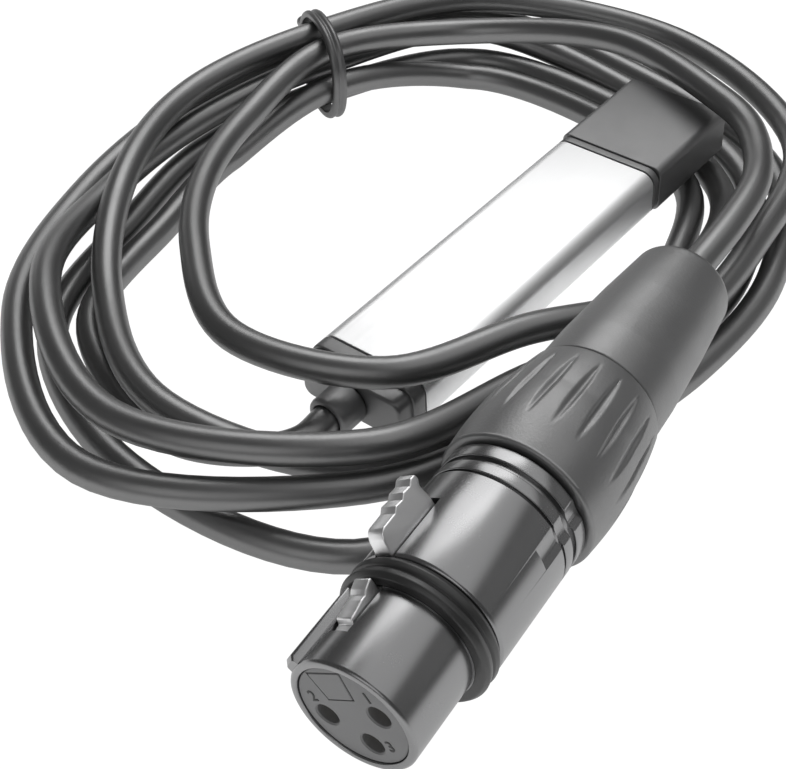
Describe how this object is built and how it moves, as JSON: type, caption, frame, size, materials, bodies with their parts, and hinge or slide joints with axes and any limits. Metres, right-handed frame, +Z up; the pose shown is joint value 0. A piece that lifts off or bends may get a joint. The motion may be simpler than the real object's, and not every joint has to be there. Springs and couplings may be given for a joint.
{
  "type": "usb dmx interface",
  "caption": "Slim USB stick with an aluminium body and pull-off cap, with a coiled, tied cord that ends in a female XLR cable connector with a press latch",
  "frame": {"origin": "On the table under the middle of the stick, its cap and gland included", "axes": "+X along the stick from the cord's end towards the USB plug, +Z up from the table, +Y to the stick's left"},
  "size_m": [0.1559, 0.1149, 0.0236],
  "materials": {
    "tube_aluminium": "satin, drawn lengthwise",
    "housing_plastic": "fine moulded grain",
    "plug_steel": "bright plated sheet",
    "tongue_plastic": "smooth",
    "contact_gold": "gold plated",
    "board_laminate": "green solder mask",
    "chip_resin": "matt black moulding",
    "chip_ceramic": "sintered",
    "wire_grey": "smooth insulation",
    "wire_red": "smooth insulation",
    "wire_white": "smooth insulation",
    "shell_metal": "black satin coating",
    "insert_plastic": "moulded, fine grain",
    "bumper_rubber": "smooth satin rubber",
    "grip_rubber": "matt moulded rubber",
    "latch_steel": "cast and tumbled",
    "cord_jacket": "satin extruded jacket",
    "tie_rubber": "matt rubber"
  },
  "bodies": {
    "root": {"stick_tube": "tube_aluminium", "front_frame": "housing_plastic", "rear_cap": "housing_plastic", "cord_gland": "housing_plastic", "usb_shell": "plug_steel", "usb_tongue": "tongue_plastic", "usb_contact_1": "contact_gold", "usb_contact_2": "contact_gold", "usb_contact_3": "contact_gold", "usb_contact_4": "contact_gold", "circuit_board": "board_laminate", "usb_bridge_chip": "chip_resin", "line_driver_chip": "chip_resin", "clock_crystal": "plug_steel", "chip_capacitor_1": "chip_ceramic", "chip_capacitor_2": "chip_ceramic", "chip_capacitor_3": "chip_ceramic", "chip_capacitor_4": "chip_ceramic", "stick_wire_1": "wire_grey", "stick_wire_2": "wire_red", "stick_wire_3": "wire_white", "connector_shell": "shell_metal", "bumper_ring": "bumper_rubber", "connector_insert": "insert_plastic", "connector_contact_1": "contact_gold", "connector_contact_2": "contact_gold", "connector_contact_3": "contact_gold", "connector_wire_1": "wire_grey", "connector_wire_2": "wire_red", "connector_wire_3": "wire_white", "latch_pin": "latch_steel", "latch_spring": "latch_steel", "cable_chuck": "insert_plastic", "grip_collar": "grip_rubber", "tail_sleeve": "grip_rubber", "cord_lead_in": "cord_jacket", "cord_coil": "cord_jacket", "cord_lead_out": "cord_jacket", "cable_tie": "tie_rubber"},
    "cap": {"usb_cap": "housing_plastic"},
    "latch": {"latch_lever": "latch_steel"}
  },
  "joints": [
    {"name": "cap_slide", "type": "slide", "parent": "root", "child": "cap", "axis": [0.9976, 0, 0.0698], "range_m": [0, 0.012]},
    {"name": "latch_press", "type": "hinge", "parent": "root", "child": "latch", "pos_m": [-0.07844, -0.03324, 0.01533], "axis": [-0.0387, 0.8295, -0.5572], "range_deg": [0, 4], "stiffness_Nm_per_rad": 0.2, "springref_deg": -5.73, "deforming": ["latch_spring"]}
  ]
}
